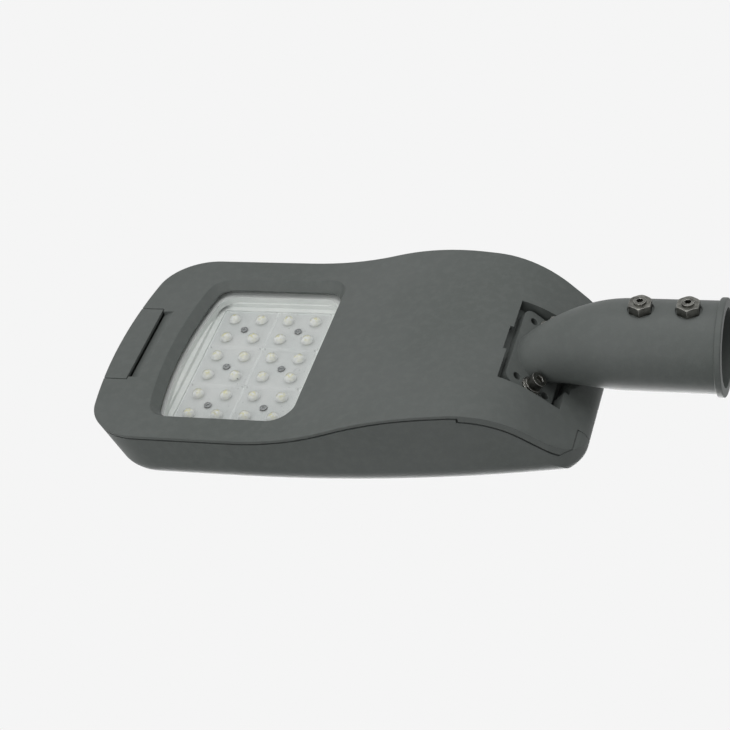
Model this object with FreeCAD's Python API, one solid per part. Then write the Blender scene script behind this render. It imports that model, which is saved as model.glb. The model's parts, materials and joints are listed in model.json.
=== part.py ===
import FreeCAD, Part
import functools
import math
import os

# LED street light head on a bolted spigot elbow, as it hangs: light downwards, spigot along +X.
# Origin: centre of the spigot socket's mouth. All sizes in millimetres.

Vec = FreeCAD.Vector

# Head outline
head_tip = -520.7          # X of the tip at the level of the lit face
head_rear = -104.3         # X of the rolled rear edge
head_half_width = 117.0
side_straight = 137.7      # from the tip; behind this the sides close in towards the stern
side_radius = 1227.0
tip_radius = 450.0
tip_corner = 44.0
tip_rake = 23.2            # degrees that the tip wall leans back
rear_corner = 34.0
top_z = 66.0
top_round = 20.0
beyond = 90.0              # how far cutting shapes reach past the head
skim = 1.0                 # how far a cutting shape starts outside the piece it cuts

# Underside: flat lit face, swell, crest, round stern and straight tail
face_z = 17.5
face_length = 139.7        # from the tip
crest_z = -8.3
crest_start = -217.0
crest_end = -205.0
stern_radius = 95.0

# Walls and the parting line between frame and lid
lid_wall = 3.0
frame_skin = 2.4
skirt_depth = 5.5          # the frame's edge is deeper behind the step
skirt_set = 13.0           # step behind the end of the crest
skirt_wall = 4.0
parting_gap = 1.5
seal_clear = 0.3
seal_width = 1.4
rim_clear = 1.5
rim_wall = 2.5
rim_height = 10.0
rim_set = 35.0             # end of the inner rim behind the end of the crest

# Rolled rear edge: hinge with one barrel on the frame between two on the lid
roll_radius = 12.0
roll_gap = 0.8
roll_lap = 40.0            # degrees that the lid's roll reaches in behind the frame's edge
barrel_end = 150.0         # degrees, front end of the frame's barrel
barrel_half = 56.0
hinge_side_gap = 0.6
hinge_disc = 6.0           # thickness of the discs that carry the pins
hinge_pin_radius = 2.0
pin_clear = 0.05

# Window
lip_thick = 1.6
window_set = 55.7          # from the tip
window_length = 122.0
window_strip = 32.0        # from the head's side
window_corner = 13.0
mouth_steps = (            # height over the lit face, then the spread in front, behind and at the sides
    (7.0, 0.0, 0.0, 0.0),
    (-6.0, 14.0, 7.4, 11.0),
)
surround_width = 11.0      # of the thick edge round the window
seat_width = 9.0
gasket_thick = 0.8
gasket_inset = 3.0
gasket_edge = 1.0          # from the seat's outer edge
glass_thick = 4.0
glass_inset = 2.0          # glass edge inside the seat's edge

# Light engine
grid_shift = 1.0           # middle of the lens field behind the window's middle
lens_pitch = 25.0
lens_columns = 4
lens_rows = 6
module_lenses = 2
module_gap = 0.5
module_corner = 3.0
lens_level = 39.5          # lower face of the lens plates
lens_plate = 2.0
dome_radius = 5.6
dome_drop = 4.7
chip_size = 3.4
chip_thick = 0.8
chip_pocket = 2.9
board_thick = 1.6
board_margin = 4.0
lens_head_radius = 3.1
lens_head = 1.0
lens_head_sink = 1.2       # counterbore under the head
lens_slot_flats = 2.5
lens_slot_deep = 0.7
reflector_sheet = 1.5
reflector_gap = 1.0
reflector_rise = 3.0
reflector_step = 5.0
sink_plate = 4.0
sink_corner = 14.0
sink_end = 7.0             # past the window's ends
sink_side = 12.0           # from the head's side
sink_post_inset = (8.0, 7.0)
fin_count = 9
fin_thick = 2.4
fin_height = 11.0
fin_pitch = 18.0
fin_inset = 6.0

# Screws and bosses
boss_radius = 5.0
screw_radius = 2.0
screw_head_radius = 3.6
screw_head = 2.4
screw_slot = 0.8
screw_slot_deep = 1.2
screw_sink = 6.0
thread_clear = 0.02
clip_width = 13.0
clip_thick = 1.5
clip_lap = 7.5
clip_spread = 30.0         # side clips, from the middle of the lens field
clip_rear_y = 52.0

# Gear bay
tray_z = 16.0
tray_thick = 2.0
tray_lip = 8.0
tray_gap = 15.0            # from the heat sink
tray_end = 11.0            # behind the end of the crest
tray_side = 37.0           # from the head's side
tray_post_inset = (9.0, 8.0)
driver_gap = 7.0           # from the tray's front
driver_side = 16.0         # from the tray's side
driver_size = (58.0, 34.0)
driver_round = 4.0
driver_ear = 9.0
driver_ear_thick = 2.5
gear_inset = 28.0          # row of small gear, from the tray's rear
surge_inset = 46.0         # from the tray's side
surge_size = (34.0, 46.0, 26.0)
surge_round = 3.0
terminal_inset = 44.0
terminal_size = (22.0, 48.0, 18.0)
terminal_poles = 4

# Spigot elbow
tube_radius = 36.4
bore_radius = 31.5
bore_depth = 90.0
lip_radius = 39.0
lip_width = 5.5
tube_start = -76.0
flange_turn = -68.0              # degrees round the stern to the flange's lower edge
flange_sunk = 0.93               # of that edge under the stern's surface
flange_angle = 45.0              # degrees below the horizontal that the flange faces
flange_half = 44.0
flange_low = 2.0                 # distances up the flange from its origin
flange_high = 48.0
flange_thick = 9.0
flange_corner = 9.0
neck_low = 5.0
neck_high = 46.0
neck_half = 25.0
neck_reach = 42.0                # how far the neck's lower side runs before it is level
neck_steps = 4
duct_radius = 12.0
recess_half = 48.0
recess_margin = 3.5
recess_wall = 3.0
recess_floor = 4.0
recess_notch_half = 14.0
recess_notch = 2.5
tube_clear = 2.5
tube_recess_half = 27.0          # the recess reaches higher in the middle, over the tube
flange_hole_radius = 3.4
flange_hole_y = 34.0
flange_hole_rows = (12.0, 40.0)
bolt_y = 35.0
bolt_row = 26.0
bolt_radius = 4.0
bolt_head_radius = 6.5
bolt_head = 8.0
bolt_socket = 6.0
bolt_socket_deep = 4.0
bolt_end = 8.0
washer_radius = 8.5
washer_thick = 1.6
spring_radius = 7.2
spring_thick = 2.2
spring_split = 1.0
fit_clear = 0.4
gland_collar = 4.0
gland_wall = 5.0
set_screw_x = (-64.5, -27.4)
set_screw_radius = 5.0
set_screw_shy = 0.4              # how far the screw's tip stays out of the bore
set_screw_proud = 1.6
set_socket_flats = 5.0
set_socket_deep = 4.0
nut_flats = 17.0
nut_height = 8.0
nut_chamfer = 0.2
nut_cone = 1.8
nut_seat_radius = 10.4

# Latch in the tip
latch_side = 70.5          # from the head's side
latch_gap = 1.0
latch_depth = 22.7         # from the tip to the latch's back edge
latch_pivot_set = (14.2, 7.0)
latch_wall = 3.0
latch_web = 3.0
latch_web_inset = 6.0
latch_pin_radius = 1.75
latch_ear_width = 3.5
latch_ear_radius = 3.7
scoop_length = 11.0
scoop_depth = 4.5
scoop_inset = 2.5          # scoop's ends inside the latch's ends

# Outer cooling fins on the lid
rib_count = 9
rib_pitch = 20.0
rib_thick = 3.0
rib_height = 7.0
rib_set = 50.7             # from the tip
rib_length = 170.0
rib_slope = 14.0

# Worked out from the sizes above
straight_end = head_tip + side_straight
swell_start = head_tip + face_length
rake_run = math.tan(math.radians(tip_rake))
rake_cos = math.cos(math.radians(tip_rake))
swell_angle = 2.0 * math.atan2(face_z - crest_z, crest_start - swell_start)
swell_radius = (crest_start - swell_start) / (2.0 * math.sin(swell_angle))
stern_z = crest_z + stern_radius
stern_centre = (crest_end, stern_z)
hinge_x = head_rear - roll_radius
hinge_z = top_z - roll_radius
hinge = (hinge_x, hinge_z)
hinge_run = math.hypot(hinge_x - crest_end, hinge_z - stern_z)
tail_drop = math.acos((stern_radius - roll_radius) / hinge_run)
tail_turn = math.degrees(math.atan2(hinge_z - stern_z, hinge_x - crest_end) - tail_drop)
tail_length = hinge_run * math.sin(tail_drop)
tail_way = Vec(-math.sin(math.radians(tail_turn)), 0, math.cos(math.radians(tail_turn)))
far_tip = head_tip - beyond
far_rear = crest_end + stern_radius + beyond
low_z = crest_z - beyond
high_z = stern_z + beyond
span = head_half_width + beyond
skirt_step = crest_end + skirt_set
rim_end = crest_end + rim_set
lid_edge = frame_skin + parting_gap
lid_edge_rear = skirt_depth + parting_gap
rim_inset = lid_wall + rim_clear
window_left = head_tip + window_set
window_right = window_left + window_length
window_half = head_half_width - window_strip
lip_z = face_z + mouth_steps[0][0]
mouth_z = face_z + mouth_steps[-1][0]
seat_z = lip_z + lip_thick
glass_z = seat_z + gasket_thick
glass_back = glass_z + glass_thick
glass_spread = seat_width - glass_inset
grid_x = window_left + window_length / 2.0 + grid_shift
field_x = lens_columns * lens_pitch / 2.0
field_y = lens_rows * lens_pitch / 2.0
board_z = lens_level + lens_plate
sink_z = board_z + board_thick
sink_half_x = window_length / 2.0 + sink_end
sink_half_y = head_half_width - sink_side
tray_left = grid_x + sink_half_x + tray_gap
tray_right = crest_end + tray_end
tray_half = head_half_width - tray_side
tray_floor = tray_z + tray_thick
gear_x = tray_right - gear_inset
surge_y = tray_half - surge_inset
terminal_y = terminal_inset - tray_half
out_x = math.cos(math.radians(flange_angle))
out_z = -math.sin(math.radians(flange_angle))
up_x = -out_z
up_z = out_x
flange_x = crest_end + (stern_radius - flange_sunk) * math.cos(math.radians(flange_turn))
flange_z = stern_z + (stern_radius - flange_sunk) * math.sin(math.radians(flange_turn))
flange_out = Vec(out_x, 0, out_z)
flange_middle = (neck_low + neck_high) / 2.0
tube_climb = (tube_radius + tube_clear - flange_z) / up_z
nut_seat = -math.sqrt(tube_radius ** 2 - nut_seat_radius ** 2)
latch_half = head_half_width - latch_side
latch_room = latch_half + latch_gap
latch_back = head_tip + latch_depth
latch_pivot = (head_tip + latch_pivot_set[0], face_z + latch_pivot_set[1])
latch_roll = (latch_pivot_set[0] - latch_pivot_set[1] * rake_run) * rake_cos
upward = Vec(0, 0, 1)
sideways = Vec(0, 1, 0)
outward = Vec(1, 0, 0)

clip_side_y = window_half + seat_width + boss_radius
clip_rear_x = window_right + seat_width + boss_radius
clip_places = [(grid_x + dx, side * clip_side_y, side)
               for dx in (-clip_spread, clip_spread) for side in (-1, 1)]
clip_places += [(clip_rear_x, side * clip_rear_y, 0) for side in (-1, 1)]
sink_posts = [(grid_x + end * (sink_half_x - sink_post_inset[0]), side * (sink_half_y - sink_post_inset[1]))
              for end in (-1, 1) for side in (-1, 1)]
tray_posts = [(x, side * (tray_half - tray_post_inset[1]))
              for x in (tray_left + tray_post_inset[0], tray_right - tray_post_inset[0]) for side in (-1, 1)]


def xz(x, z, y=0.0):
    return Vec(x, y, z)


def line(start, end):
    return Part.LineSegment(start, end).toShape()


def polar(centre, radius, degrees):
    turn = math.radians(degrees)
    return xz(centre[0] + radius * math.cos(turn), centre[1] + radius * math.sin(turn))


def sweep_arc(centre, radius, first, last):
    """Arc in the XZ plane between two angles in degrees."""
    middle = polar(centre, radius, (first + last) / 2.0)
    return Part.Arc(polar(centre, radius, first), middle, polar(centre, radius, last)).toShape()


def chain(points):
    return [line(a, b) for a, b in zip(points, points[1:])]


def ring(points):
    return chain(points + points[:1])


def across(edges, half):
    """Solid from a closed XZ outline, drawn out to both sides of the middle plane."""
    face = Part.Face(Part.Wire(Part.__sortEdges__(edges)))
    face.translate(Vec(0, -half, 0))
    return face.extrude(Vec(0, 2.0 * half, 0))


def block(low, high):
    return Part.makeBox(high[0] - low[0], high[1] - low[1], high[2] - low[2], Vec(*low))


def rod(radius, start, length, direction):
    return Part.makeCylinder(radius, length, start, direction)


def cross_rod(radius, centre, inner, width, side):
    """Rod across the head at a given XZ place, from a distance off the middle plane outwards."""
    return rod(radius, Vec(centre[0], side * inner, centre[1]), width, sideways * side)


def joined(shapes):
    return shapes[0].multiFuse(shapes[1:]).removeSplitter()


def cut_all(shape, cuts):
    for tool in cuts:
        shape = shape.cut(tool)
    return shape.removeSplitter()


def group(shapes):
    return Part.makeCompound(shapes)


def save(name, shape):
    shape.exportStep("parts/" + name + ".step")


def stern_turn(depth, x):
    """Angle on the stern arc, set in by depth, at a given X."""
    return -math.degrees(math.acos((x - crest_end) / (stern_radius - depth)))


def keel(depth):
    """Underside curve, set in by depth, from past the tip to the end of the crest."""
    turn = math.degrees(swell_angle)
    return [
        line(xz(far_tip, face_z + depth), xz(swell_start, face_z + depth)),
        sweep_arc((swell_start, face_z - swell_radius), swell_radius + depth, 90.0, 90.0 - turn),
        sweep_arc((crest_start, crest_z + swell_radius), swell_radius - depth, 270.0 - turn, 270.0),
        line(xz(crest_start, crest_z + depth), xz(crest_end, crest_z + depth)),
    ]


def stern(depth, first, tail):
    """Stern curve, set in by depth, from an angle to a length up the straight tail."""
    radius = stern_radius - depth
    end = polar(stern_centre, radius, tail_turn)
    return [sweep_arc(stern_centre, radius, first, tail_turn), line(end, end + tail_way * tail)]


def underside(depth, tail):
    return keel(depth) + stern(depth, -90.0, tail)


def stepped(front, rear, step, tail):
    """Underside curve that drops from one depth to another at the step."""
    first = stern_turn(front, step)
    second = stern_turn(rear, step)
    ends = [polar(stern_centre, stern_radius - front, first), polar(stern_centre, stern_radius - rear, second)]
    return keel(front) + [sweep_arc(stern_centre, stern_radius - front, -90.0, first)] + chain(ends) + stern(
        rear, second, tail)


def first_point(edges):
    return edges[0].firstVertex(True).Point


def last_point(edges):
    return edges[-1].lastVertex(True).Point


def layer(lower, upper):
    """Solid between two underside curves, right across the head."""
    ends = [line(last_point(lower), last_point(upper)), line(first_point(upper), first_point(lower))]
    return across(lower + upper + ends, span)


def above(depth):
    """Everything above the underside curve set in by depth."""
    lower = underside(depth, tail_length + beyond)
    corners = [last_point(lower), xz(last_point(lower).x, high_z), xz(far_tip, high_z), first_point(lower)]
    return across(lower + chain(corners), span)


def plan_prism(depth, rear):
    """Head between its two sides, set in by depth, square at the rear."""
    half = head_half_width - depth
    radius = side_radius - depth
    run = rear - straight_end

    def half_at(distance):
        return half - radius + math.sqrt(radius ** 2 - distance ** 2)

    edges = []
    for side in (-1, 1):
        edges.append(line(Vec(far_tip, side * half, low_z), Vec(straight_end, side * half, low_z)))
        edges.append(Part.Arc(
            Vec(straight_end, side * half, low_z),
            Vec(straight_end + run / 2.0, side * half_at(run / 2.0), low_z),
            Vec(rear, side * half_at(run), low_z)).toShape())
    edges.append(line(Vec(rear, -half_at(run), low_z), Vec(rear, half_at(run), low_z)))
    edges.append(line(Vec(far_tip, half, low_z), Vec(far_tip, -half, low_z)))
    face = Part.Face(Part.Wire(Part.__sortEdges__(edges)))
    return face.extrude(Vec(0, 0, top_z - depth - low_z))


def tip_prism(depth):
    """Everything behind the leaning, slightly bowed tip wall, set in by depth."""
    rise = top_z + beyond - low_z
    radius = tip_radius - depth
    apex = head_tip + depth / rake_cos + (low_z - face_z) * rake_run
    bow = radius - math.sqrt(radius ** 2 - span ** 2)
    rear = far_rear + beyond
    low = Vec(apex + bow, -span, low_z)
    high = Vec(apex + bow, span, low_z)
    edges = [Part.Arc(low, Vec(apex, 0, low_z), high).toShape()]
    edges += chain([high, Vec(rear, span, low_z), Vec(rear, -span, low_z), low])
    return Part.Face(Part.Wire(edges)).extrude(Vec(rise * rake_run, 0, rise))


def level_edges(solid, level, low_x, high_x):
    """Edges at one level that start behind low_x and reach past high_x."""
    found = []
    for edge in solid.Edges:
        box = edge.BoundBox
        if box.ZLength < 0.01 and abs(box.ZMax - level) < 0.01 and low_x < box.XMin and box.XMax > high_x:
            found.append(edge)
    return found


def rounded_rear(depth):
    """Head with round rear corners and the rear edge rolled over, set in by depth."""
    rear = head_rear - depth
    solid = plan_prism(depth, rear)
    uprights = [e for e in solid.Edges if e.BoundBox.ZLength > 1.0 and abs(e.BoundBox.Center.x - rear) < 0.01]
    solid = solid.makeFillet(rear_corner - depth, uprights)
    return solid.makeFillet(roll_radius - depth, level_edges(solid, top_z - depth, rear - 0.01, rear - 0.01))


@functools.lru_cache(maxsize=None)
def head(depth):
    """Whole head with round corners and rounded top edge, set in by depth."""
    solid = plan_prism(depth, far_rear).common(tip_prism(depth))
    half = head_half_width - depth
    corners = []
    for edge in solid.Edges:
        box = edge.BoundBox
        if box.ZLength > 1.0 and abs(abs(box.Center.y) - half) < 0.01 and box.XMax < straight_end:
            corners.append(edge)
    solid = solid.makeFillet(tip_corner - depth, corners)
    rims = [e for e in level_edges(solid, top_z - depth, far_tip, far_tip) if e.BoundBox.XMin < far_rear - 1.0]
    return solid.makeFillet(top_round - depth, rims).common(rounded_rear(depth))


def window_wire(level, left, right, side):
    """Window outline spread on each side, with rounded corners, at one level."""
    front = window_left - left
    rear = window_right + right
    half = window_half + side
    radius = tip_radius - window_set
    bow = radius - math.sqrt(radius ** 2 - half ** 2)
    low = Vec(front + bow, -half, level)
    high = Vec(front + bow, half, level)
    edges = [Part.Arc(low, Vec(front, 0, level), high).toShape()]
    edges += chain([high, Vec(rear, half, level), Vec(rear, -half, level), low])
    prism = Part.Face(Part.Wire(edges)).extrude(upward)
    uprights = [e for e in prism.Edges if e.BoundBox.ZLength > 0.5]
    prism = prism.makeFillet(window_corner + side, uprights)
    floor = min(prism.Faces, key=lambda f: f.CenterOfMass.z)
    return floor.OuterWire


def window_block(level, height, spread):
    return Part.Face(window_wire(level, spread, spread, spread)).extrude(Vec(0, 0, height))


def window_surround():
    """Thick edge round the window, which carries the glass."""
    return window_block(mouth_z, seat_z - mouth_z, surround_width).common(above(0.0))


def window_mouth():
    """Opening of the window: upright at the glass, then flaring in steps to the lit face."""
    wires = [window_wire(face_z + level, left, right, side) for level, left, right, side in mouth_steps]
    return [window_block(lip_z - skim, lip_thick + 2.0 * skim, 0.0), Part.makeLoft(wires, True, True)]


def on_flange(climb, out, y):
    """Point a distance up the flange, out of its front face and across."""
    return Vec(flange_x + climb * up_x + out * out_x, y, flange_z + climb * up_z + out * out_z)


def flange_block(low, high, half, back, front):
    """Block standing square on the flange's plane."""
    return across(ring([on_flange(low, back, 0), on_flange(high, back, 0),
                        on_flange(high, front, 0), on_flange(low, front, 0)]), half)


def flange_rod(radius, row, y, back, front):
    return rod(radius, on_flange(row, back, y), front - back, flange_out)


def boss(x, y, top):
    """Round post that stands on the frame's skin."""
    return rod(boss_radius, Vec(x, y, crest_z), top - crest_z, upward).common(above(frame_skin / 2.0))


def screw(x, y, seat):
    """Slotted pan head screw driven down onto a seat."""
    top = seat + screw_head
    head_part = rod(screw_head_radius, Vec(x, y, seat), screw_head, upward)
    head_part = head_part.makeFillet(screw_head / 2.0, level_edges(head_part, top, far_tip, far_tip))
    shank = rod(screw_radius, Vec(x, y, seat - screw_sink), screw_sink, upward)
    slot = block((x - screw_head_radius, y - screw_slot / 2.0, top - screw_slot_deep),
                 (x + screw_head_radius, y + screw_slot / 2.0, top + skim))
    return joined([head_part, shank]).cut(slot)


def screw_hole(x, y, seat):
    return rod(screw_radius + thread_clear, Vec(x, y, seat - screw_sink - skim), screw_sink + skim, upward)


def through_hole(radius, x, y, level, height):
    """Upright hole that goes right through a plate."""
    return rod(radius, Vec(x, y, level - skim), height + 2.0 * skim, upward)


def hinge_barrel():
    """Middle barrel of the rear hinge, rolled up from the frame's tail, with a disc for a pin at each end."""
    inner = roll_radius - lid_wall
    edges = [sweep_arc(hinge, radius, tail_turn, barrel_end) for radius in (roll_radius, inner)]
    edges += [line(polar(hinge, inner, turn), polar(hinge, roll_radius, turn))
              for turn in (tail_turn, barrel_end)]
    discs = [cross_rod(roll_radius - lid_wall / 2.0, hinge, barrel_half - hinge_disc, hinge_disc, side)
             for side in (-1, 1)]
    return [across(edges, barrel_half)] + discs


def latch_ear(side):
    """Eye on the frame beside the latch, for one end of its pin."""
    x, z = latch_pivot
    eye = cross_rod(latch_ear_radius, latch_pivot, latch_room, latch_ear_width, side)
    ends = sorted([side * latch_room, side * (latch_room + latch_ear_width)])
    leg = block((x - latch_ear_radius, ends[0], face_z + frame_skin / 2.0), (x + latch_ear_radius, ends[1], z))
    return joined([eye, leg])


def scoop(extra, half):
    """Ramp from the latch's back edge up to the lit face, for a finger behind the latch."""
    start = latch_back + latch_gap / 2.0
    low = face_z - skim + extra
    return across(ring([xz(start, low), xz(start, face_z + scoop_depth + extra),
                        xz(start + scoop_length, face_z + extra), xz(start + scoop_length, low)]), half)


def flange_recess():
    """Shapes that cut the recess for the flange, the neck and the tube."""
    floor = -flange_thick
    low = -recess_margin
    tube_room = rod(tube_radius + tube_clear / 2.0, Vec(on_flange(flange_high, 0, 0).x, 0, 0), beyond, outward)
    return [
        flange_block(low, flange_high + recess_margin, recess_half, floor, stern_radius),
        flange_block(low - recess_notch, 0.0, recess_notch_half, floor, stern_radius),
        flange_block(flange_low, tube_climb, tube_recess_half, floor, stern_radius),
        tube_room,
        flange_rod(duct_radius + fit_clear, flange_middle, 0, floor - 2.0 * recess_floor, 0.0),
    ]


def flange_pocket():
    """Walls and floor behind the flange recess, with pads for the bolts."""
    floor = -flange_thick - recess_floor
    side_room = recess_margin + recess_wall
    box = flange_block(-side_room, flange_high + side_room, recess_half + recess_wall, floor, stern_radius)
    arch = flange_block(flange_low, tube_climb + 2.0 * recess_wall, tube_recess_half + recess_wall, floor,
                        stern_radius)
    pads = [flange_rod(2.0 * bolt_radius, bolt_row, side * bolt_y, -flange_thick - bolt_end, -flange_thick)
            for side in (-1, 1)]
    return [joined([box, arch]).common(above(0.0))] + pads


def frame_shell():
    """Skin of the underside with its deeper edge at the stern, cleared for the lid's rolls."""
    edge = stepped(frame_skin, skirt_depth, skirt_step, tail_length)
    shell = head(0.0).common(layer(underside(0.0, tail_length), edge))
    far = tail_length + beyond
    shell = shell.cut(head(skirt_wall).common(layer(underside(frame_skin, far), underside(rim_height, far))))
    return cut_all(shell, [cross_rod(roll_radius + roll_gap, hinge, barrel_half, span, side)
                           for side in (-1, 1)])


def frame_rim():
    """Upstand inside the lid's wall, open behind the latch."""
    band = layer(underside(frame_skin / 2.0, tail_length), underside(rim_height, tail_length))
    rim = head(rim_inset).cut(head(rim_inset + rim_wall)).common(band)
    rim = rim.common(block((far_tip, -span, low_z), (rim_end, span, high_z)))
    gap = latch_room + latch_ear_width + latch_gap
    return rim.cut(block((far_tip, -gap, low_z), (window_left, gap, high_z)))


def lower_frame():
    scoop_half = latch_half - scoop_inset
    pieces = [frame_shell(), frame_rim(), window_surround()] + flange_pocket() + hinge_barrel()
    pieces.append(scoop(frame_skin, scoop_half + frame_skin))
    pieces += [latch_ear(side) for side in (-1, 1)]
    cuts = window_mouth() + flange_recess() + [scoop(0.0, scoop_half)]
    posts = [(x, y, glass_back) for x, y, _ in clip_places]
    posts += [(x, y, sink_z) for x, y in sink_posts] + [(x, y, tray_z) for x, y in tray_posts]
    for x, y, top in posts:
        pieces.append(boss(x, y, top))
        cuts.append(screw_hole(x, y, top))
    for side in (-1, 1):
        cuts.append(flange_rod(bolt_radius + thread_clear, bolt_row, side * bolt_y,
                               -flange_thick - bolt_end - skim, skim - flange_thick))
        cuts.append(cross_rod(hinge_pin_radius + thread_clear, hinge, barrel_half - hinge_disc - skim,
                              hinge_disc + 2.0 * skim, side))
        cuts.append(cross_rod(latch_pin_radius + thread_clear, latch_pivot, latch_half, span, side))
    cuts.append(block((far_tip, -latch_room, low_z), (latch_back + latch_gap, latch_room, top_z)))
    return cut_all(joined(pieces), cuts)


def upper_lid():
    roll_edge = roll_radius - lid_edge_rear
    meet = tail_length - math.sqrt(roll_radius ** 2 - roll_edge ** 2)
    lower = stepped(lid_edge, lid_edge_rear, skirt_step - parting_gap, meet)
    meet_point = last_point(lower)
    meet_turn = math.degrees(math.atan2(meet_point.z - hinge_z, meet_point.x - hinge_x))
    roof = [sweep_arc(hinge, roll_radius, meet_turn, 90.0)]
    roof += chain([xz(hinge_x, top_z), xz(far_tip, top_z), first_point(lower)])
    outside = head(0.0).common(across(lower + roof, span))
    inner = roll_radius - lid_wall
    inner_roof = top_z - lid_wall
    roll_end = tail_turn - roll_lap
    reach = polar(hinge, 2.0 * roll_radius, roll_end)
    cavity = [sweep_arc(hinge, inner, roll_end, 90.0)]
    cavity += chain([xz(hinge_x, inner_roof), xz(far_tip, inner_roof), xz(far_tip, low_z),
                     xz(reach.x, low_z), reach, polar(hinge, inner, roll_end)])
    lid = outside.cut(head(lid_wall).common(across(cavity, span)))
    start = barrel_half + hinge_side_gap
    lid = lid.cut(cross_rod(roll_radius + roll_gap, hinge, -start, 2.0 * start, 1))
    discs = [cross_rod(roll_radius - lid_wall / 2.0, hinge, start, hinge_disc, side) for side in (-1, 1)]
    lid = joined([lid] + discs + [cooling_rib(i) for i in range(rib_count)])
    cuts = [cross_rod(hinge_pin_radius + pin_clear, hinge, start - skim, hinge_disc + 2.0 * skim, side)
            for side in (-1, 1)]
    notch_top = latch_pivot[1] + latch_roll + latch_gap
    cuts.append(block((far_tip, -latch_room, low_z), (latch_back, latch_room, notch_top)))
    return cut_all(lid, cuts)


def cooling_rib(index):
    """Long low fin on the lid's roof, sloped down at both ends."""
    front = head_tip + rib_set
    back = front + rib_length
    base = top_z - lid_wall / 2.0
    rib = across(ring([xz(front, base), xz(front + rib_slope, top_z + rib_height),
                       xz(back - 2.0 * rib_slope, top_z + rib_height), xz(back, base)]), rib_thick / 2.0)
    rib.translate(Vec(0, (index - (rib_count - 1) / 2.0) * rib_pitch, 0))
    return rib


def lid_seal():
    """Rubber strip in the parting groove, open across the stern."""
    tail = tail_length - 3.0 * roll_radius
    height = parting_gap - seal_clear
    lower = stepped(frame_skin, skirt_depth, skirt_step, tail)
    upper = stepped(frame_skin + height, skirt_depth + height, skirt_step - height, tail)
    inset = lid_wall / 2.0
    strip = head(inset).cut(head(inset + seal_width)).common(layer(lower, upper))
    room = latch_room + latch_gap
    return strip.cut(block((far_tip, -room, low_z), (window_left, room, high_z)))


def latch_profile(depth):
    """Latch section: lit face, leaning tip wall and roll about the pivot, set in by depth."""
    radius = latch_roll - depth
    tangent = 180.0 - tip_rake
    low = face_z + depth
    front = head_tip + depth / rake_cos + depth * rake_run
    corners = [polar(latch_pivot, radius, 90.0), xz(*latch_pivot), xz(latch_back + depth, low + latch_wall),
               xz(latch_back + depth, low), xz(front, low), polar(latch_pivot, radius, tangent)]
    return [sweep_arc(latch_pivot, radius, tangent, 90.0)] + chain(corners)


def latch_clip():
    """Hollow flap with webs, rolled about a pin beside the tip."""
    outer = across(latch_profile(0.0), latch_half).common(head(0.0))
    hollow = across(latch_profile(latch_wall), latch_half + skim)
    web_span = latch_half - latch_web_inset
    webs = across(latch_profile(latch_wall / 2.0), web_span)
    webs = webs.cut(across(latch_profile(0.0), web_span - latch_web))
    solid = joined([outer.cut(hollow), webs.common(outer)])
    return solid.cut(cross_rod(latch_pin_radius + pin_clear, latch_pivot, -latch_room, 2.0 * latch_room, 1))


def blend(points, u):
    """Point on a curve that leaves the first point towards the second and arrives at the third."""
    return points[0] * (1 - u) ** 2 + points[1] * (2 * u * (1 - u)) + points[2] * u ** 2


def oval(low, high, half):
    """Elliptical section between a low and a high point of the neck."""
    centre = (low + high) * 0.5
    rise = (high - low) * 0.5
    circle = Part.Wire(Part.Circle(Vec(0, 0, 0), upward, 1.0).toShape())
    normal = sideways.cross(rise).normalize()
    frame = FreeCAD.Matrix(0, rise.x, normal.x, centre.x,
                           half, rise.y, normal.y, centre.y,
                           0, rise.z, normal.z, centre.z,
                           0, 0, 0, 1)
    return circle.transformGeometry(frame)


def neck():
    """Smooth body from an oval foot on the flange to the round tube."""
    foot = on_flange(neck_low, 0, 0)
    top = on_flange(neck_high, 0, 0)
    lower = [foot, xz(foot.x + neck_reach, -tube_radius), xz(tube_start, -tube_radius)]
    upper = [top, xz((top.x + tube_start) / 2.0, tube_radius), xz(tube_start, tube_radius)]
    wires = []
    for index in range(neck_steps + 1):
        u = index / neck_steps
        half = neck_half + (tube_radius - neck_half) * (3 * u ** 2 - 2 * u ** 3)
        wires.append(oval(blend(lower, u), blend(upper, u), half))
    return Part.makeLoft(wires, True, False)


def spigot_elbow():
    tube = rod(tube_radius, Vec(tube_start, 0, 0), -tube_start, outward)
    lip = rod(lip_radius, Vec(-lip_width, 0, 0), lip_width, outward)
    rims = [e for e in lip.Edges if e.BoundBox.XLength < 0.01]
    lip = lip.makeFillet((lip_radius - tube_radius) / 2.0, rims)
    flange = flange_block(flange_low, flange_high, flange_half, -flange_thick, 0.0)
    uprights = [e for e in flange.Edges if e.BoundBox.YLength < 0.01 and abs(e.Length - flange_thick) < 0.01]
    flange = flange.makeFillet(flange_corner, uprights)
    body = joined([tube, neck(), lip, flange])
    foot = on_flange(flange_middle, 0, 0)
    knee_x = foot.x + foot.z * out_x / -out_z
    cuts = [
        flange_rod(duct_radius, flange_middle, 0, -flange_thick - skim, foot.z / -out_z),
        rod(duct_radius, Vec(knee_x, 0, 0), -knee_x, outward),
        Part.makeSphere(duct_radius, Vec(knee_x, 0, 0)),
        rod(bore_radius, Vec(-bore_depth, 0, 0), bore_depth + skim, outward),
    ]
    back = -flange_thick - skim
    for side in (-1, 1):
        for row in flange_hole_rows:
            cuts.append(flange_rod(flange_hole_radius, row, side * flange_hole_y, back, skim))
        cuts.append(flange_rod(bolt_radius + fit_clear, bolt_row, side * bolt_y, back, skim))
    for x in set_screw_x:
        cuts.append(rod(set_screw_radius + thread_clear, Vec(x, 0, -tube_radius - skim), tube_radius, upward))
        cuts.append(rod(nut_seat_radius, Vec(x, 0, nut_seat - beyond), beyond, upward))
    return cut_all(body, cuts)


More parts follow.
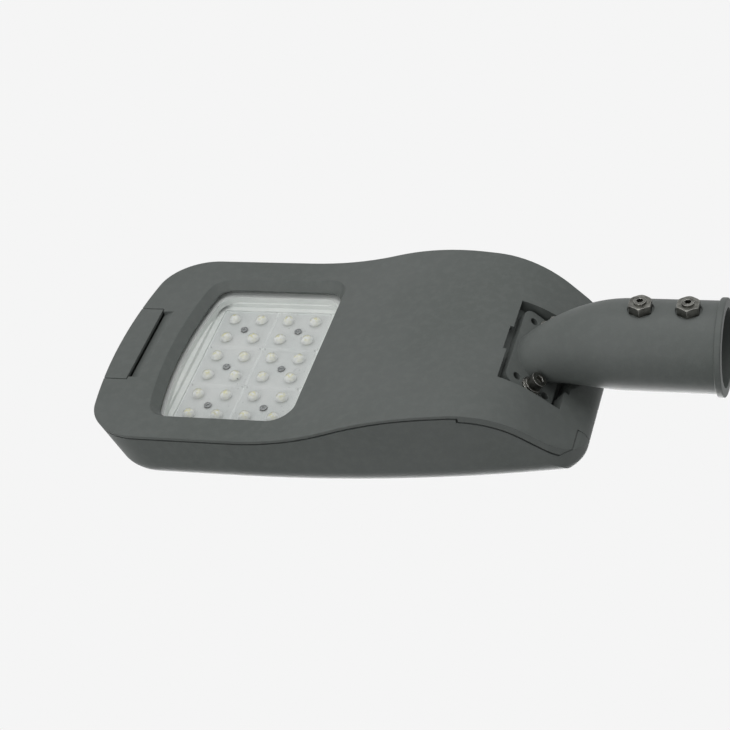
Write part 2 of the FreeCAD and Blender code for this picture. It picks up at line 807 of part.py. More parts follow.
def hexagon(flats, start, length, direction, twist=0.0):
    """Hexagonal bar from a centre point along a direction."""
    radius = flats / math.sqrt(3.0)
    points = [Vec(radius * math.cos(math.radians(60.0 * i + twist)),
                  radius * math.sin(math.radians(60.0 * i + twist)), 0) for i in range(7)]
    bar = Part.Face(Part.makePolygon(points)).extrude(Vec(0, 0, length))
    bar.Placement = FreeCAD.Placement(start, FreeCAD.Rotation(upward, direction))
    return bar


def set_screws():
    tip = -bore_radius - set_screw_shy
    end = nut_seat - nut_height - set_screw_proud
    screws = []
    for x in set_screw_x:
        stud = rod(set_screw_radius, Vec(x, 0, end), tip - end, upward)
        socket = hexagon(set_socket_flats, Vec(x, 0, end - skim), set_socket_deep + skim, upward)
        screws.append(stud.cut(socket))
    return group(screws)


def lock_nuts():
    low = nut_seat - nut_height
    small = nut_flats / 2.0 + nut_chamfer
    nuts = []
    for x in set_screw_x:
        nut = hexagon(nut_flats, Vec(x, 0, low), nut_height, upward, 30.0)
        cone = Part.makeCone(small, small + nut_height * nut_cone, nut_height, Vec(x, 0, low), upward)
        nuts.append(nut.common(cone).cut(through_hole(set_screw_radius + thread_clear, x, 0, low, nut_height)))
    return group(nuts)


def flange_bolts():
    """Socket head cap screws."""
    seat = washer_thick + spring_thick
    bolts = []
    for side in (-1, 1):
        y = side * bolt_y
        cap = flange_rod(bolt_head_radius, bolt_row, y, seat, seat + bolt_head)
        shank = flange_rod(bolt_radius, bolt_row, y, -flange_thick - bolt_end, seat)
        socket = hexagon(bolt_socket, on_flange(bolt_row, seat + bolt_head - bolt_socket_deep, y),
                         bolt_socket_deep + skim, flange_out)
        bolts.append(joined([cap, shank]).cut(socket))
    return group(bolts)


def flange_washers():
    """Plain washer and split spring washer under each bolt."""
    rings = []
    for side in (-1, 1):
        y = side * bolt_y
        seat = washer_thick + spring_thick
        hole = flange_rod(bolt_radius + fit_clear, bolt_row, y, -skim, seat + skim)
        rings.append(flange_rod(washer_radius, bolt_row, y, 0.0, washer_thick).cut(hole))
        split = flange_block(bolt_row, bolt_row + 2.0 * spring_radius, spring_split / 2.0,
                             washer_thick, seat + skim)
        split.translate(Vec(0, y, 0))
        rings.append(cut_all(flange_rod(spring_radius, bolt_row, y, washer_thick, seat), [hole, split]))
    return group(rings)


def grid(columns, rows, pitch):
    """Places of a centred grid."""
    return [((i - (columns - 1) / 2.0) * pitch, (j - (rows - 1) / 2.0) * pitch)
            for i in range(columns) for j in range(rows)]


def module_centres():
    places = grid(lens_columns // module_lenses, lens_rows // module_lenses, lens_pitch * module_lenses)
    return [(grid_x + dx, dy) for dx, dy in places]


def lens_module(x, y):
    """Clear plate with domes, a chip pocket behind each and a sunk screw hole in the middle."""
    half = lens_pitch * module_lenses / 2.0 - module_gap / 2.0
    plate = block((x - half, y - half, lens_level), (x + half, y + half, board_z))
    uprights = [e for e in plate.Edges if e.BoundBox.ZLength > lens_plate / 2.0]
    pieces = [plate.makeFillet(module_corner, uprights)]
    cuts = [through_hole(screw_radius + fit_clear, x, y, lens_level, lens_plate),
            rod(lens_head_radius + fit_clear, Vec(x, y, lens_level - skim), lens_head_sink + skim, upward)]
    for dx, dy in grid(module_lenses, module_lenses, lens_pitch):
        ball = Part.makeSphere(dome_radius, Vec(x + dx, y + dy, lens_level + dome_radius - dome_drop))
        room = 2.0 * dome_radius
        pieces.append(ball.common(block((x + dx - room, y + dy - room, lens_level - room),
                                        (x + dx + room, y + dy + room, lens_level + lens_plate / 2.0))))
        deep = chip_thick + fit_clear
        cuts.append(rod(chip_pocket, Vec(x + dx, y + dy, board_z - deep), deep + skim, upward))
    return cut_all(joined(pieces), cuts)


def led_chips():
    half = chip_size / 2.0
    return group([block((grid_x + dx - half, dy - half, board_z - chip_thick),
                        (grid_x + dx + half, dy + half, board_z))
                  for dx, dy in grid(lens_columns, lens_rows, lens_pitch)])


def lens_screws():
    """Small screws, head down and sunk, that hold the lens plates to the heat sink."""
    seat = lens_level + lens_head_sink
    end = sink_z + sink_plate / 2.0
    screws = []
    for x, y in module_centres():
        cap = rod(lens_head_radius, Vec(x, y, seat - lens_head), lens_head, upward)
        shank = rod(screw_radius, Vec(x, y, seat), end - seat, upward)
        socket = hexagon(lens_slot_flats, Vec(x, y, seat - lens_head - skim), lens_slot_deep + skim, upward)
        screws.append(joined([cap, shank]).cut(socket))
    return group(screws)


def led_board():
    half_x = field_x + board_margin
    half_y = field_y + board_margin
    board = block((grid_x - half_x, -half_y, board_z), (grid_x + half_x, half_y, sink_z))
    return cut_all(board, [through_hole(screw_radius + fit_clear, x, y, board_z, board_thick)
                           for x, y in module_centres()])


def reflector_frame():
    """White stepped surround between the glass and the lens field."""
    half_x = field_x + reflector_gap
    half_y = field_y + reflector_gap
    low = lens_level - reflector_rise
    outer = window_block(low, reflector_rise + lens_plate, glass_spread)
    inside = block((grid_x - half_x - reflector_step, -half_y - reflector_step, low - skim),
                   (grid_x + half_x + reflector_step, half_y + reflector_step, board_z - reflector_sheet))
    hole = block((grid_x - half_x, -half_y, low - skim), (grid_x + half_x, half_y, board_z + skim))
    return cut_all(outer, [inside, hole])


def led_heatsink():
    plate = block((grid_x - sink_half_x, -sink_half_y, sink_z),
                  (grid_x + sink_half_x, sink_half_y, sink_z + sink_plate))
    uprights = [e for e in plate.Edges if e.BoundBox.ZLength > sink_plate / 2.0]
    pieces = [plate.makeFillet(sink_corner, uprights)]
    for _, y in grid(1, fin_count, fin_pitch):
        pieces.append(block(
            (grid_x - sink_half_x + fin_inset, y - fin_thick / 2.0, sink_z + sink_plate / 2.0),
            (grid_x + sink_half_x - fin_inset, y + fin_thick / 2.0, sink_z + sink_plate + fin_height)))
    holes = [through_hole(screw_radius + fit_clear, x, y, sink_z, sink_plate) for x, y in sink_posts]
    holes += [through_hole(screw_radius + thread_clear, x, y, sink_z, sink_plate / 2.0)
              for x, y in module_centres()]
    return cut_all(joined(pieces), holes)


def glass_clips():
    clips = []
    inward = boss_radius + glass_inset + clip_lap
    for x, y, side in clip_places:
        if side:
            ends = sorted([y - side * inward, y + side * boss_radius])
            plate = block((x - clip_width / 2.0, ends[0], glass_back),
                          (x + clip_width / 2.0, ends[1], glass_back + clip_thick))
        else:
            plate = block((x - inward, y - clip_width / 2.0, glass_back),
                          (x + boss_radius, y + clip_width / 2.0, glass_back + clip_thick))
        clips.append(plate.cut(through_hole(screw_radius + fit_clear, x, y, glass_back, clip_thick)))
    return group(clips)


def window_gasket():
    ring_out = window_block(seat_z, gasket_thick, seat_width - gasket_edge)
    return ring_out.cut(window_block(seat_z - skim, gasket_thick + 2.0 * skim, gasket_inset))


def gear_tray():
    """Sheet with one edge turned up."""
    sheet = block((tray_left, -tray_half, tray_z), (tray_right, tray_half, tray_floor))
    edge = block((tray_left, -tray_half, tray_z), (tray_left + tray_thick, tray_half, tray_z + tray_lip))
    return cut_all(joined([sheet, edge]), [through_hole(screw_radius + fit_clear, x, y, tray_z, tray_thick)
                                           for x, y in tray_posts])


def gear_box(x, y, size):
    """Box that stands on the gear tray."""
    dx, dy, dz = size
    return block((x - dx / 2.0, y - dy / 2.0, tray_floor), (x + dx / 2.0, y + dy / 2.0, tray_floor + dz))


def led_driver():
    length, height = driver_size
    width = 2.0 * (tray_half - driver_side)
    x = tray_left + driver_gap + length / 2.0
    case = gear_box(x, 0.0, (length, width, height))
    tops = [e for e in case.Edges if e.BoundBox.YLength > width / 2.0 and e.BoundBox.ZMin > tray_floor + skim]
    ears = gear_box(x, 0.0, (length / 2.0, width + 2.0 * driver_ear, driver_ear_thick))
    return joined([case.makeFillet(driver_round, tops), ears])


def surge_protector():
    case = gear_box(gear_x, surge_y, surge_size)
    return case.makeFillet(surge_round, [e for e in case.Edges if e.BoundBox.ZMin > tray_floor + skim])


def terminal_block():
    """Moulded block with two wells for each pole."""
    dx, dy, dz = terminal_size
    pitch = dy / terminal_poles
    wells = []
    for end_x, end_y in grid(2, terminal_poles, 1.0):
        well_y = terminal_y + end_y * pitch
        wells.append(rod(pitch * 0.3, Vec(gear_x + end_x * dx * 0.56, well_y, tray_floor + dz / 2.0),
                         dz, upward))
    return cut_all(gear_box(gear_x, terminal_y, terminal_size), wells)


def cable_gland():
    """Rubber gland in the floor of the flange recess, around the cable way."""
    front = -flange_thick
    back = front - recess_floor
    sleeve = flange_rod(duct_radius, flange_middle, 0, back, front)
    collar = flange_rod(duct_radius + gland_collar, flange_middle, 0, back - gland_collar, back)
    bore = flange_rod(duct_radius - gland_wall, flange_middle, 0, back - gland_collar - skim, front + skim)
    return joined([sleeve, collar]).cut(bore)


def hinge_pins():
    pin_length = 2.0 * hinge_disc + hinge_side_gap
    return group([cross_rod(hinge_pin_radius, hinge, barrel_half - hinge_disc, pin_length, side)
                  for side in (-1, 1)])


def latch_pin():
    reach = latch_room + latch_ear_width
    return cross_rod(latch_pin_radius, latch_pivot, -reach, 2.0 * reach, 1)


os.makedirs("parts", exist_ok=True)
save("lower_frame", lower_frame())
save("upper_lid", upper_lid())
save("lid_seal", lid_seal())
save("latch_clip", latch_clip())
save("latch_pin", latch_pin())
save("hinge_pins", hinge_pins())
save("window_gasket", window_gasket())
save("window_glass", window_block(glass_z, glass_thick, glass_spread))
save("glass_clips", glass_clips())
save("clip_screws", group([screw(x, y, glass_back + clip_thick) for x, y, _ in clip_places]))
save("reflector_frame", reflector_frame())
save("led_board", led_board())
save("led_chips", led_chips())
for number, (module_x, module_y) in enumerate(module_centres(), 1):
    save("lens_module_%d" % number, lens_module(module_x, module_y))
save("lens_screws", lens_screws())
save("led_heatsink", led_heatsink())
save("heatsink_screws", group([screw(x, y, sink_z + sink_plate) for x, y in sink_posts]))
save("gear_tray", gear_tray())
save("tray_screws", group([screw(x, y, tray_floor) for x, y in tray_posts]))
save("led_driver", led_driver())
save("surge_protector", surge_protector())
save("terminal_block", terminal_block())
save("cable_gland", cable_gland())
save("spigot_elbow", spigot_elbow())
save("flange_bolts", flange_bolts())
save("flange_washers", flange_washers())
save("set_screws", set_screws())
save("lock_nuts", lock_nuts())
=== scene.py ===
import json
import math

import bmesh
import bpy
from mathutils import Matrix, Vector


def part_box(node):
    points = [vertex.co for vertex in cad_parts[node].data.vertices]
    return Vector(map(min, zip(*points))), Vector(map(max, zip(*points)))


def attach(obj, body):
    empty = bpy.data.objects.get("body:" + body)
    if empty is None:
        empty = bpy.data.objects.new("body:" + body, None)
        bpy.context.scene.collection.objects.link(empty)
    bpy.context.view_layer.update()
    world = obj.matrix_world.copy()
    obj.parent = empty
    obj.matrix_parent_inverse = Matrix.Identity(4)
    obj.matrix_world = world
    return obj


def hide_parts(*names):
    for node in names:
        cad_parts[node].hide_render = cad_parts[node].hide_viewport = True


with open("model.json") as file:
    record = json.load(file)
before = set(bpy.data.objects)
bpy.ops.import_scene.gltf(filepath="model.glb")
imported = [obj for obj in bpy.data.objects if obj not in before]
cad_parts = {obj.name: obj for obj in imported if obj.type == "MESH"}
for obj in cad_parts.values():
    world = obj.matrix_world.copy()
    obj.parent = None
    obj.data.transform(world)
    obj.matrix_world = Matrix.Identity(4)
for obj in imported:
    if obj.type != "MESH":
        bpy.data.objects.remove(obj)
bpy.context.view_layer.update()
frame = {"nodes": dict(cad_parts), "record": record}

# Camera of the photograph, solved from the lens grid. In the picture the lamp lies with its lit face up.
VIEW_TURN = math.radians(23.61)
VIEW_RISE = math.radians(38.33)
VIEW_ROLL = math.radians(-12.90)
VIEW_SHIFT = Vector((-0.09483, -0.00171, -1.68036))  # middle of the lens grid along the camera's axes
FOCAL_PIXELS = 1976.45
PICTURE_PIXELS = 730
SENSOR_MM = 36.0
CLIP_NEAR = 0.05
CLIP_FAR = 100.0

# Lens field, in metres
GRID_CENTRE = Vector((-0.403, 0.0, 0.0395))
LENS_PITCH = 0.025
PLATE_LENSES = 2.0            # lenses along each side of a plate
CHIP_TINT_RADIUS = 0.0040
SEAM_SHARES = (0.006, 0.022)  # where the pale edge of a plate fades out, as shares of the plate
LENS_FOOT = 0.00015           # lens plates stand this far off the board
RIM_PLAY = 0.00005            # faces this near the side of a plate are its rim

# White spacer between the window pane and the reflector, in metres
SPACER_INSET = 0.0076         # from the rim of the pane, past the ends of the clips
SPACER_THICK = 0.0008
SPACER_PLAY = 0.00003         # keeps it off the pane and the reflector
BORDER_INSET = 0.0004         # from the rim of the pane to the white border on its back
RIM_DIGITS = 5                # decimals that tell the corners of the rim apart

# Rays that look for a nearby edge, for each sample
EDGE_SAMPLES = 4

# Studio
FLOOR_LEVEL = -2.6
FLOOR_HALF = 30.0
BACKDROP = (0.913, 0.913, 0.913, 1.0)
FLOOR_PAINT = (0.8, 0.8, 0.8, 1.0)
ROOM_COLOUR = (1.0, 1.0, 1.0, 1.0)
ROOM_LIGHT = 0.27
LAMP_TARGET = Vector((-0.3, 0.0, 0.03))
LAMPS = (                     # name, place, size, power
    ("key_below", (0.0, -0.2, -2.1), 1.6, 19.0),
    ("fill_tip", (-2.2, 0.5, -0.9), 1.6, 4.0),
    ("fill_side", (-0.8, 1.8, -1.0), 1.6, 13.5),
    ("fill_above", (-0.6, -0.8, 2.0), 1.8, 46.0),
)


class Value:
    """Output of a shader node. Arithmetic on it adds Math nodes."""

    def __init__(self, nodes, socket):
        self.nodes = nodes
        self.socket = socket

    def math(self, operation, *terms):
        return self.nodes.node("ShaderNodeMath", {"operation": operation}, dict(enumerate(terms)))

    def __add__(self, other):
        return self.math("ADD", self, other)

    def __radd__(self, other):
        return self.math("ADD", other, self)

    def __sub__(self, other):
        return self.math("SUBTRACT", self, other)

    def __rsub__(self, other):
        return self.math("SUBTRACT", other, self)

    def __mul__(self, other):
        return self.math("MULTIPLY", self, other)

    def __rmul__(self, other):
        return self.math("MULTIPLY", other, self)

    def __truediv__(self, other):
        return self.math("DIVIDE", self, other)

    def __rtruediv__(self, other):
        return self.math("DIVIDE", other, self)

    def __pow__(self, other):
        return self.math("POWER", self, other)

    def __abs__(self):
        return self.math("ABSOLUTE", self)

    def fraction(self):
        return self.math("FRACT", self)

    def smooth(self, low, high):
        """0 below low, 1 above high, smooth between."""
        return self.nodes.node(
            "ShaderNodeMapRange", {"interpolation_type": "SMOOTHSTEP"},
            {"Value": self, "From Min": low, "From Max": high})


class Nodes:
    """Node tree of a material or a world."""

    def __init__(self, owner):
        owner.use_nodes = True
        self.tree = owner.node_tree
        self.tree.nodes.clear()

    def feed(self, socket, value):
        if isinstance(value, Value):
            self.tree.links.new(value.socket, socket)
        else:
            socket.default_value = value

    def node(self, kind, settings=None, inputs=None, output=0):
        """Adds a node: its settings first, then the values or links of its sockets."""
        made = self.tree.nodes.new(kind)
        for name, value in (settings or {}).items():
            setattr(made, name, value)
        for name, value in (inputs or {}).items():
            self.feed(made.inputs[name], value)
        return Value(self, made.outputs[output]) if made.outputs else None

    def seen(self):
        """1 for rays from the camera, a mirror or glass, 0 for rays that light the object."""
        kinds = ("Is Camera Ray", "Is Glossy Ray", "Is Transmission Ray")
        first, second, third = (self.node("ShaderNodeLightPath", output=kind) for kind in kinds)
        return (first + second + third).smooth(0.0, 1.0)


class Finish(Nodes):
    """A material with one Principled shader, fed by expressions."""

    def __init__(self, name, **constants):
        self.material = bpy.data.materials.new(name)
        super().__init__(self.material)
        shader = self.node("ShaderNodeBsdfPrincipled")
        self.inputs = shader.socket.node.inputs
        self.node("ShaderNodeOutputMaterial", None, {"Surface": shader})
        self.set(**constants)

    def set(self, **sockets):
        for name, value in sockets.items():
            self.feed(self.inputs[name.replace("_", " ")], value)

    def place(self):
        return self.node("ShaderNodeTexCoord", output="Object")

    def along(self, axis):
        """One coordinate of the place on the object, in metres."""
        return self.node("ShaderNodeSeparateXYZ", None, {"Vector": self.place()}, output=axis)

    def noise(self, scale, detail=2.0, roughness=0.5, place=None):
        return self.node(
            "ShaderNodeTexNoise", {"noise_dimensions": "3D"},
            {"Vector": place or self.place(), "Scale": scale, "Detail": detail, "Roughness": roughness})

    def clouds(self, scale):
        """Soft patches from 0 to 1."""
        return self.noise(scale, detail=3.0).smooth(0.3, 0.7)

    def cells(self, scale):
        return self.node("ShaderNodeTexVoronoi", None, {"Vector": self.place(), "Scale": scale})

    def stretched(self, x, y, z):
        return self.node("ShaderNodeMapping", None, {"Vector": self.place(), "Scale": (x, y, z)})

    def blend(self, share, first, second):
        """Colour between two colours."""
        return self.node("ShaderNodeMix", {"data_type": "RGBA"}, {0: share, 6: first, 7: second}, output=2)

    def rounded(self, radius):
        return self.node("ShaderNodeBevel", {"samples": EDGE_SAMPLES}, {"Radius": radius})

    def bump(self, height, depth, strength=1.0, edge=0.0):
        """Normal with relief of a given depth in metres, on edges rounded by a given radius."""
        inputs = {"Height": height, "Distance": depth, "Strength": strength}
        if edge:
            inputs["Normal"] = self.rounded(edge)
        return self.node("ShaderNodeBump", None, inputs)

    def edges(self, radius):
        """1 on edges, 0 on flat faces."""
        flat = self.node("ShaderNodeNewGeometry", output="Normal")
        same = self.node("ShaderNodeVectorMath", {"operation": "DOT_PRODUCT"},
                         {0: self.rounded(radius), 1: flat}, output="Value")
        return (1.0 - same).smooth(0.02, 0.25)

    def glance(self, blend):
        """0 where a surface is seen straight on, 1 where it is seen edgeways."""
        return self.node("ShaderNodeLayerWeight", None, {"Blend": blend}, output="Facing")


def colour(red, green, blue):
    """Linear colour of an 8-bit screen colour."""
    def linear(value):
        share = value / 255.0
        return share / 12.92 if share <= 0.04045 else ((share + 0.055) / 1.055) ** 2.4
    return (linear(red), linear(green), linear(blue), 1.0)


def grey_paint():
    """Fine textured powder coat over castings, rubbed a little on the edges."""
    paint = Finish("grey_paint", Metallic=0.0, IOR=1.47, Specular_IOR_Level=0.3)
    patch = paint.noise(7.0, detail=4.0, roughness=0.6)
    mottle = paint.noise(130.0, detail=3.0, roughness=0.65)
    grain = paint.noise(1500.0, roughness=0.6)
    peel = paint.noise(380.0)
    pits = paint.cells(900.0)
    rubbed = paint.edges(0.0011) * paint.noise(60.0, detail=3.0).smooth(0.4, 0.7)
    coat = paint.blend(patch.smooth(0.3, 0.7), colour(87, 92, 89), colour(95, 99, 97))
    coat = paint.blend(mottle.smooth(0.4, 0.7) * 0.35, coat, colour(104, 108, 106))
    coat = paint.blend(grain.smooth(0.35, 0.75) * 0.2, coat, colour(110, 114, 112))
    coat = paint.blend(rubbed * 0.3, coat, colour(128, 131, 130))
    relief = grain * 0.4 + peel * 0.35 + mottle * 0.6 + pits * 0.15
    paint.set(Base_Color=coat, Roughness=0.52 + 0.12 * (patch - 0.5) + 0.1 * (grain - 0.5),
              Normal=paint.bump(relief, depth=0.00016, strength=0.5, edge=0.0009))
    return paint.material


def fastener_steel(name, dark, light, gloss):
    """Turned fasteners: stained, brighter on their edges."""
    steel = Finish(name, Metallic=1.0)
    turned = steel.noise(900.0, detail=3.0, roughness=0.6)
    stain = steel.noise(160.0, detail=3.0, roughness=0.6)
    coat = steel.blend(stain.smooth(0.35, 0.7), light, dark)
    coat = steel.blend(steel.edges(0.0005) * 0.75, coat, colour(222, 221, 217))
    steel.set(Base_Color=coat, Roughness=gloss + 0.16 * stain + 0.06 * turned,
              Normal=steel.bump(turned, depth=0.00005, strength=0.5, edge=0.0004))
    return steel.material


def zinc_sheet():
    """Plated sheet with a faint spangle."""
    zinc = Finish("zinc_sheet", Metallic=1.0)
    spangle = zinc.cells(140.0)
    rolled = zinc.noise(1.0, detail=3.0, place=zinc.stretched(30.0, 900.0, 30.0))
    coat = zinc.blend(spangle, colour(178, 181, 183), colour(206, 208, 208))
    zinc.set(Base_Color=coat, Roughness=0.3 + 0.2 * spangle,
             Normal=zinc.bump(rolled, depth=0.00004, strength=0.4, edge=0.0005))
    return zinc.material


def clear_glass():
    """Toughened window pane: mostly clear, brighter at a glancing angle, with a little dust."""
    glass = Finish("clear_glass", Metallic=0.0, IOR=1.45, Base_Color=colour(240, 246, 244))
    dust = glass.noise(55.0, detail=4.0, roughness=0.65).smooth(0.5, 0.85)
    glass.set(Alpha=0.03 + 0.25 * glass.glance(0.3) ** 3 + 0.02 * dust, Roughness=0.05 + 0.1 * dust)
    return glass.material


def lens_plastic():
    """Clear moulded lenses with domes painted white and dense as a painted highlight, tinted in the middle by
    the chip, on plates with pale edges.
    """
    lens = Finish("lens_plastic", Metallic=0.0, IOR=1.36, Coat_Weight=0.5)
    normal = lens.node("ShaderNodeNewGeometry", output="Normal")
    upright = abs(lens.node("ShaderNodeSeparateXYZ", None, {"Vector": normal}, output="Z"))
    slope = (1.0 - upright).smooth(0.002, 0.2) * upright.smooth(0.05, 0.2)

    # Place in the grid, counted in lenses
    x = (lens.along("X") - GRID_CENTRE.x) / LENS_PITCH
    y = (lens.along("Y") - GRID_CENTRE.y) / LENS_PITCH
    across = x.fraction() - 0.5
    along = y.fraction() - 0.5
    radius = (across ** 2.0 + along ** 2.0) ** 0.5 * LENS_PITCH
    middle = 1.0 - radius.smooth(0.4 * CHIP_TINT_RADIUS, 1.3 * CHIP_TINT_RADIUS)
    # Painted highlight: dome slopes and middles are made dense and white, which covers the shade inside the
    # dome; the coat's own reflection shows on them.
    painted_dome_highlight = 1.0 - (1.0 - slope) * (1.0 - middle)
    tint = middle * lens.noise(430.0).smooth(0.4, 0.62)

    # Two plates along X meet at the middle of the grid. Of the three along Y, one lies across it.
    off_end = abs((x / PLATE_LENSES + 0.5).fraction() - 0.5)
    off_side = abs((y / PLATE_LENSES).fraction() - 0.5)
    seam = 1.0 - off_end.smooth(*SEAM_SHARES) * off_side.smooth(*SEAM_SHARES)

    flow = lens.noise(220.0)
    dirty = lens.noise(45.0).smooth(0.52, 0.6)
    specks = (1.0 - lens.cells(150.0).smooth(0.06, 0.13)) * dirty * (1.0 - middle)
    coat = lens.blend(tint, colour(252, 254, 253), colour(238, 233, 165))
    coat = lens.blend(specks, coat, colour(120, 124, 124))
    lens.set(Base_Color=coat, Alpha=0.06 + 0.56 * painted_dome_highlight + 0.3 * specks + 0.18 * seam,
             Roughness=0.05 + 0.05 * flow, Normal=lens.bump(flow, depth=0.00001, strength=0.3))
    return lens.material


def pale_surface(name, dark, light, gloss):
    """Satin white surface with a fine skin and faint clouds."""
    white = Finish(name, Metallic=0.0, IOR=1.46)
    grain = white.noise(1700.0)
    white.set(Base_Color=white.blend(white.clouds(24.0), dark, light), Roughness=gloss + 0.1 * (grain - 0.5),
              Normal=white.bump(grain, depth=0.00005, strength=0.4, edge=0.0007))
    return white.material


def phosphor():
    """Yellow LED phosphor in silicone."""
    yellow = Finish("phosphor", Metallic=0.0, IOR=1.42)
    grain = yellow.noise(2600.0)
    coat = yellow.blend(grain, colour(212, 204, 110), colour(232, 226, 140))
    yellow.set(Base_Color=coat, Roughness=0.3 + 0.1 * grain)
    return yellow.material


def moulded(name, dark, light, gloss):
    """Moulded rubber or plastic with a fine skin texture."""
    skin = Finish(name, Metallic=0.0, IOR=1.5)
    grain = skin.noise(1400.0)
    skin.set(Base_Color=skin.blend(skin.clouds(40.0), dark, light), Roughness=gloss + 0.12 * (grain - 0.5),
             Normal=skin.bump(grain, depth=0.0001, strength=0.5, edge=0.0005))
    return skin.material


def drawn_aluminium(name, dark, light):
    """Bare aluminium with drawing lines along the fins."""
    metal = Finish(name, Metallic=1.0)
    lines = metal.noise(1.0, detail=3.0, place=metal.stretched(14.0, 700.0, 700.0))
    metal.set(Base_Color=metal.blend(metal.clouds(22.0), dark, light), Roughness=0.34 + 0.16 * lines,
              Normal=metal.bump(lines, depth=0.00005, strength=0.5, edge=0.0005))
    return metal.material


FINISHES = {
    "grey_paint": grey_paint(),
    "steel": fastener_steel("steel", colour(84, 84, 80), colour(124, 124, 119), 0.26),
    "dark_steel": fastener_steel("dark_steel", colour(108, 111, 112), colour(142, 145, 146), 0.34),
    "zinc_sheet": zinc_sheet(),
    "window_glass": clear_glass(),
    "lens_plastic": lens_plastic(),
    "white_plastic": pale_surface("white_plastic", colour(222, 226, 223), colour(230, 233, 230), 0.42),
    "white_board": pale_surface("white_board", colour(220, 225, 223), colour(228, 231, 229), 0.38),
    "phosphor": phosphor(),
    "seal_rubber": moulded("seal_rubber", colour(22, 22, 23), colour(30, 30, 31), 0.7),
    "black_plastic": moulded("black_plastic", colour(30, 31, 33), colour(38, 39, 41), 0.5),
    "grey_plastic": moulded("grey_plastic", colour(150, 152, 151), colour(162, 164, 163), 0.45),
    "bare_aluminium": drawn_aluminium("bare_aluminium", colour(186, 188, 189), colour(202, 204, 205)),
    "driver_case": drawn_aluminium("driver_case", colour(168, 170, 172), colour(184, 186, 188)),
}


def dress_cad_nodes():
    """Gives every CAD node the finish of its material slot."""
    for row in frame["record"]["subparts"]:
        node = frame["nodes"][row["node"]]
        node.data.materials.clear()
        node.data.materials.append(FINISHES[row["material_slot"]])


def link(thing):
    bpy.context.scene.collection.objects.link(thing)
    return thing


def side_gaps(point, corner):
    """Distances of a point from the two upright planes through a corner."""
    return abs(point.x - corner.x), abs(point.y - corner.y)


def lens_plates():
    """Lens plates a hair off the board, so that they share no plane with it, and open where they meet."""
    board_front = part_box("led_board")[0].z
    for row in frame["record"]["subparts"]:
        if row["material_slot"] != "lens_plastic":
            continue
        low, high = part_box(row["node"])
        shape = bmesh.new()
        shape.from_mesh(frame["nodes"][row["node"]].data)
        rims = []
        for face in shape.faces:
            middle = face.calc_center_median()
            if min(side_gaps(middle, low) + side_gaps(middle, high)) < RIM_PLAY:
                rims.append(face)
        bmesh.ops.delete(shape, geom=rims, context="FACES")
        for vertex in shape.verts:
            vertex.co.z = min(vertex.co.z, board_front - LENS_FOOT)
        mesh = bpy.data.meshes.new(row["node"] + "_plate")
        shape.to_mesh(mesh)
        shape.free()
        mesh.materials.append(FINISHES["lens_plastic"])
        plate = link(bpy.data.objects.new(mesh.name, mesh))
        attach(plate, "housing")
        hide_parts(row["node"])


def pane_rim(inset, level):
    """Rim of the window pane, drawn in by an inset, at a level."""
    low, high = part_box("window_glass")
    middle = (low + high) / 2.0
    half = (high - low) / 2.0
    places = [vertex.co for vertex in frame["nodes"]["window_glass"].data.vertices]
    rim = {(round(place.x, RIM_DIGITS), round(place.y, RIM_DIGITS)) for place in places}
    ordered = sorted(rim, key=lambda point: math.atan2(point[1] - middle.y, point[0] - middle.x))
    kept_x = 1.0 - inset / half.x
    kept_y = 1.0 - inset / half.y
    return [(middle.x + (x - middle.x) * kept_x, middle.y + (y - middle.y) * kept_y, level)
            for x, y in ordered]


def window_spacer():
    """White border on the back of the window pane, with a wall that closes the gap to the reflector."""
    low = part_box("window_glass")[1].z - SPACER_PLAY
    border = low + 2.0 * SPACER_PLAY
    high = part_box("reflector_frame")[0].z - SPACER_PLAY
    inner = SPACER_INSET + SPACER_THICK
    profile = ((BORDER_INSET, low), (BORDER_INSET, border), (SPACER_INSET, border), (SPACER_INSET, high),
               (inner, high), (inner, low))
    loops = [pane_rim(inset, level) for inset, level in profile]
    count = len(loops[0])
    faces = []
    for turn in range(len(loops)):
        first = turn * count
        second = (turn + 1) % len(loops) * count
        for i in range(count):
            j = (i + 1) % count
            faces.append((first + i, first + j, second + j, second + i))
    mesh = bpy.data.meshes.new("window_spacer")
    mesh.from_pydata([point for loop in loops for point in loop], [], faces)
    mesh.materials.append(FINISHES["white_plastic"])
    ring = link(bpy.data.objects.new("window_spacer", mesh))
    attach(ring, "housing")


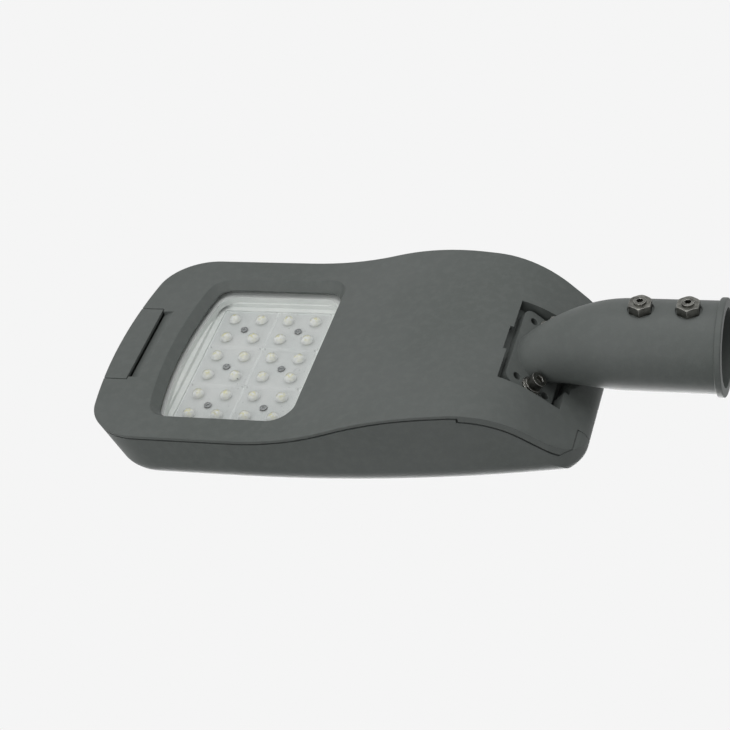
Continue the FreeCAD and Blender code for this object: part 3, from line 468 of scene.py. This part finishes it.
def photo_camera():
    """Camera where the photograph was taken from, below the lamp and rolled over."""
    back = Vector((math.sin(VIEW_TURN) * math.cos(VIEW_RISE), -math.cos(VIEW_TURN) * math.cos(VIEW_RISE),
                   math.sin(VIEW_RISE)))
    level = Vector((math.cos(VIEW_TURN), math.sin(VIEW_TURN), 0.0))
    upright = back.cross(level)
    right = math.cos(VIEW_ROLL) * level + math.sin(VIEW_ROLL) * upright
    up = math.cos(VIEW_ROLL) * upright - math.sin(VIEW_ROLL) * level
    axes = Matrix((right, up, back)).transposed()
    lying = Matrix.Translation(-(axes @ VIEW_SHIFT)) @ axes.to_4x4()
    installed = Matrix.Translation(GRID_CENTRE) @ Matrix.Rotation(math.pi, 4, "X")
    data = bpy.data.cameras.new("photo_camera")
    data.sensor_width = SENSOR_MM
    data.lens = FOCAL_PIXELS / PICTURE_PIXELS * SENSOR_MM
    data.clip_start = CLIP_NEAR
    data.clip_end = CLIP_FAR
    camera = link(bpy.data.objects.new("photo_camera", data))
    camera.matrix_world = installed @ lying
    bpy.context.scene.camera = camera


def soft_lamps():
    """Large square lamps round the object, each turned to its middle."""
    for name, place, size, power in LAMPS:
        data = bpy.data.lights.new(name, "AREA")
        data.shape = "SQUARE"
        data.size = size
        data.energy = power
        lamp = link(bpy.data.objects.new(name, data))
        lamp.location = place
        lamp.rotation_mode = "QUATERNION"
        lamp.rotation_quaternion = (LAMP_TARGET - Vector(place)).to_track_quat("-Z", "Y")
        lamp.visible_camera = False


def pale_room():
    """Room that lights the object evenly and looks pale behind it."""
    world = bpy.data.worlds.new("pale_room")
    bpy.context.scene.world = world
    room = Nodes(world)
    lighting = room.node("ShaderNodeBackground", None, {"Strength": ROOM_LIGHT, "Color": ROOM_COLOUR})
    backdrop = room.node("ShaderNodeBackground", None, {"Color": BACKDROP})
    mixed = room.node("ShaderNodeMixShader", None, {0: room.seen(), 1: lighting, 2: backdrop})
    room.node("ShaderNodeOutputWorld", None, {"Surface": mixed})


def pale_floor():
    """Wide floor far below the lamp, with the room's colour."""
    half = FLOOR_HALF
    corners = ((-half, -half), (half, -half), (half, half), (-half, half))
    mesh = bpy.data.meshes.new("studio_floor")
    mesh.from_pydata([(x, y, FLOOR_LEVEL) for x, y in corners], [], [(0, 1, 2, 3)])
    paint = bpy.data.materials.new("pale_floor")
    floor = Nodes(paint)
    matt = floor.node("ShaderNodeBsdfDiffuse", None, {"Color": FLOOR_PAINT})
    glow = floor.node("ShaderNodeEmission", None, {"Color": BACKDROP})
    mixed = floor.node("ShaderNodeMixShader", None, {0: floor.seen(), 1: matt, 2: glow})
    floor.node("ShaderNodeOutputMaterial", None, {"Surface": mixed})
    mesh.materials.append(paint)
    link(bpy.data.objects.new("studio_floor", mesh))


dress_cad_nodes()
lens_plates()
window_spacer()
photo_camera()
soft_lamps()
pale_room()
pale_floor()
bpy.context.scene.view_settings.view_transform = "Standard"
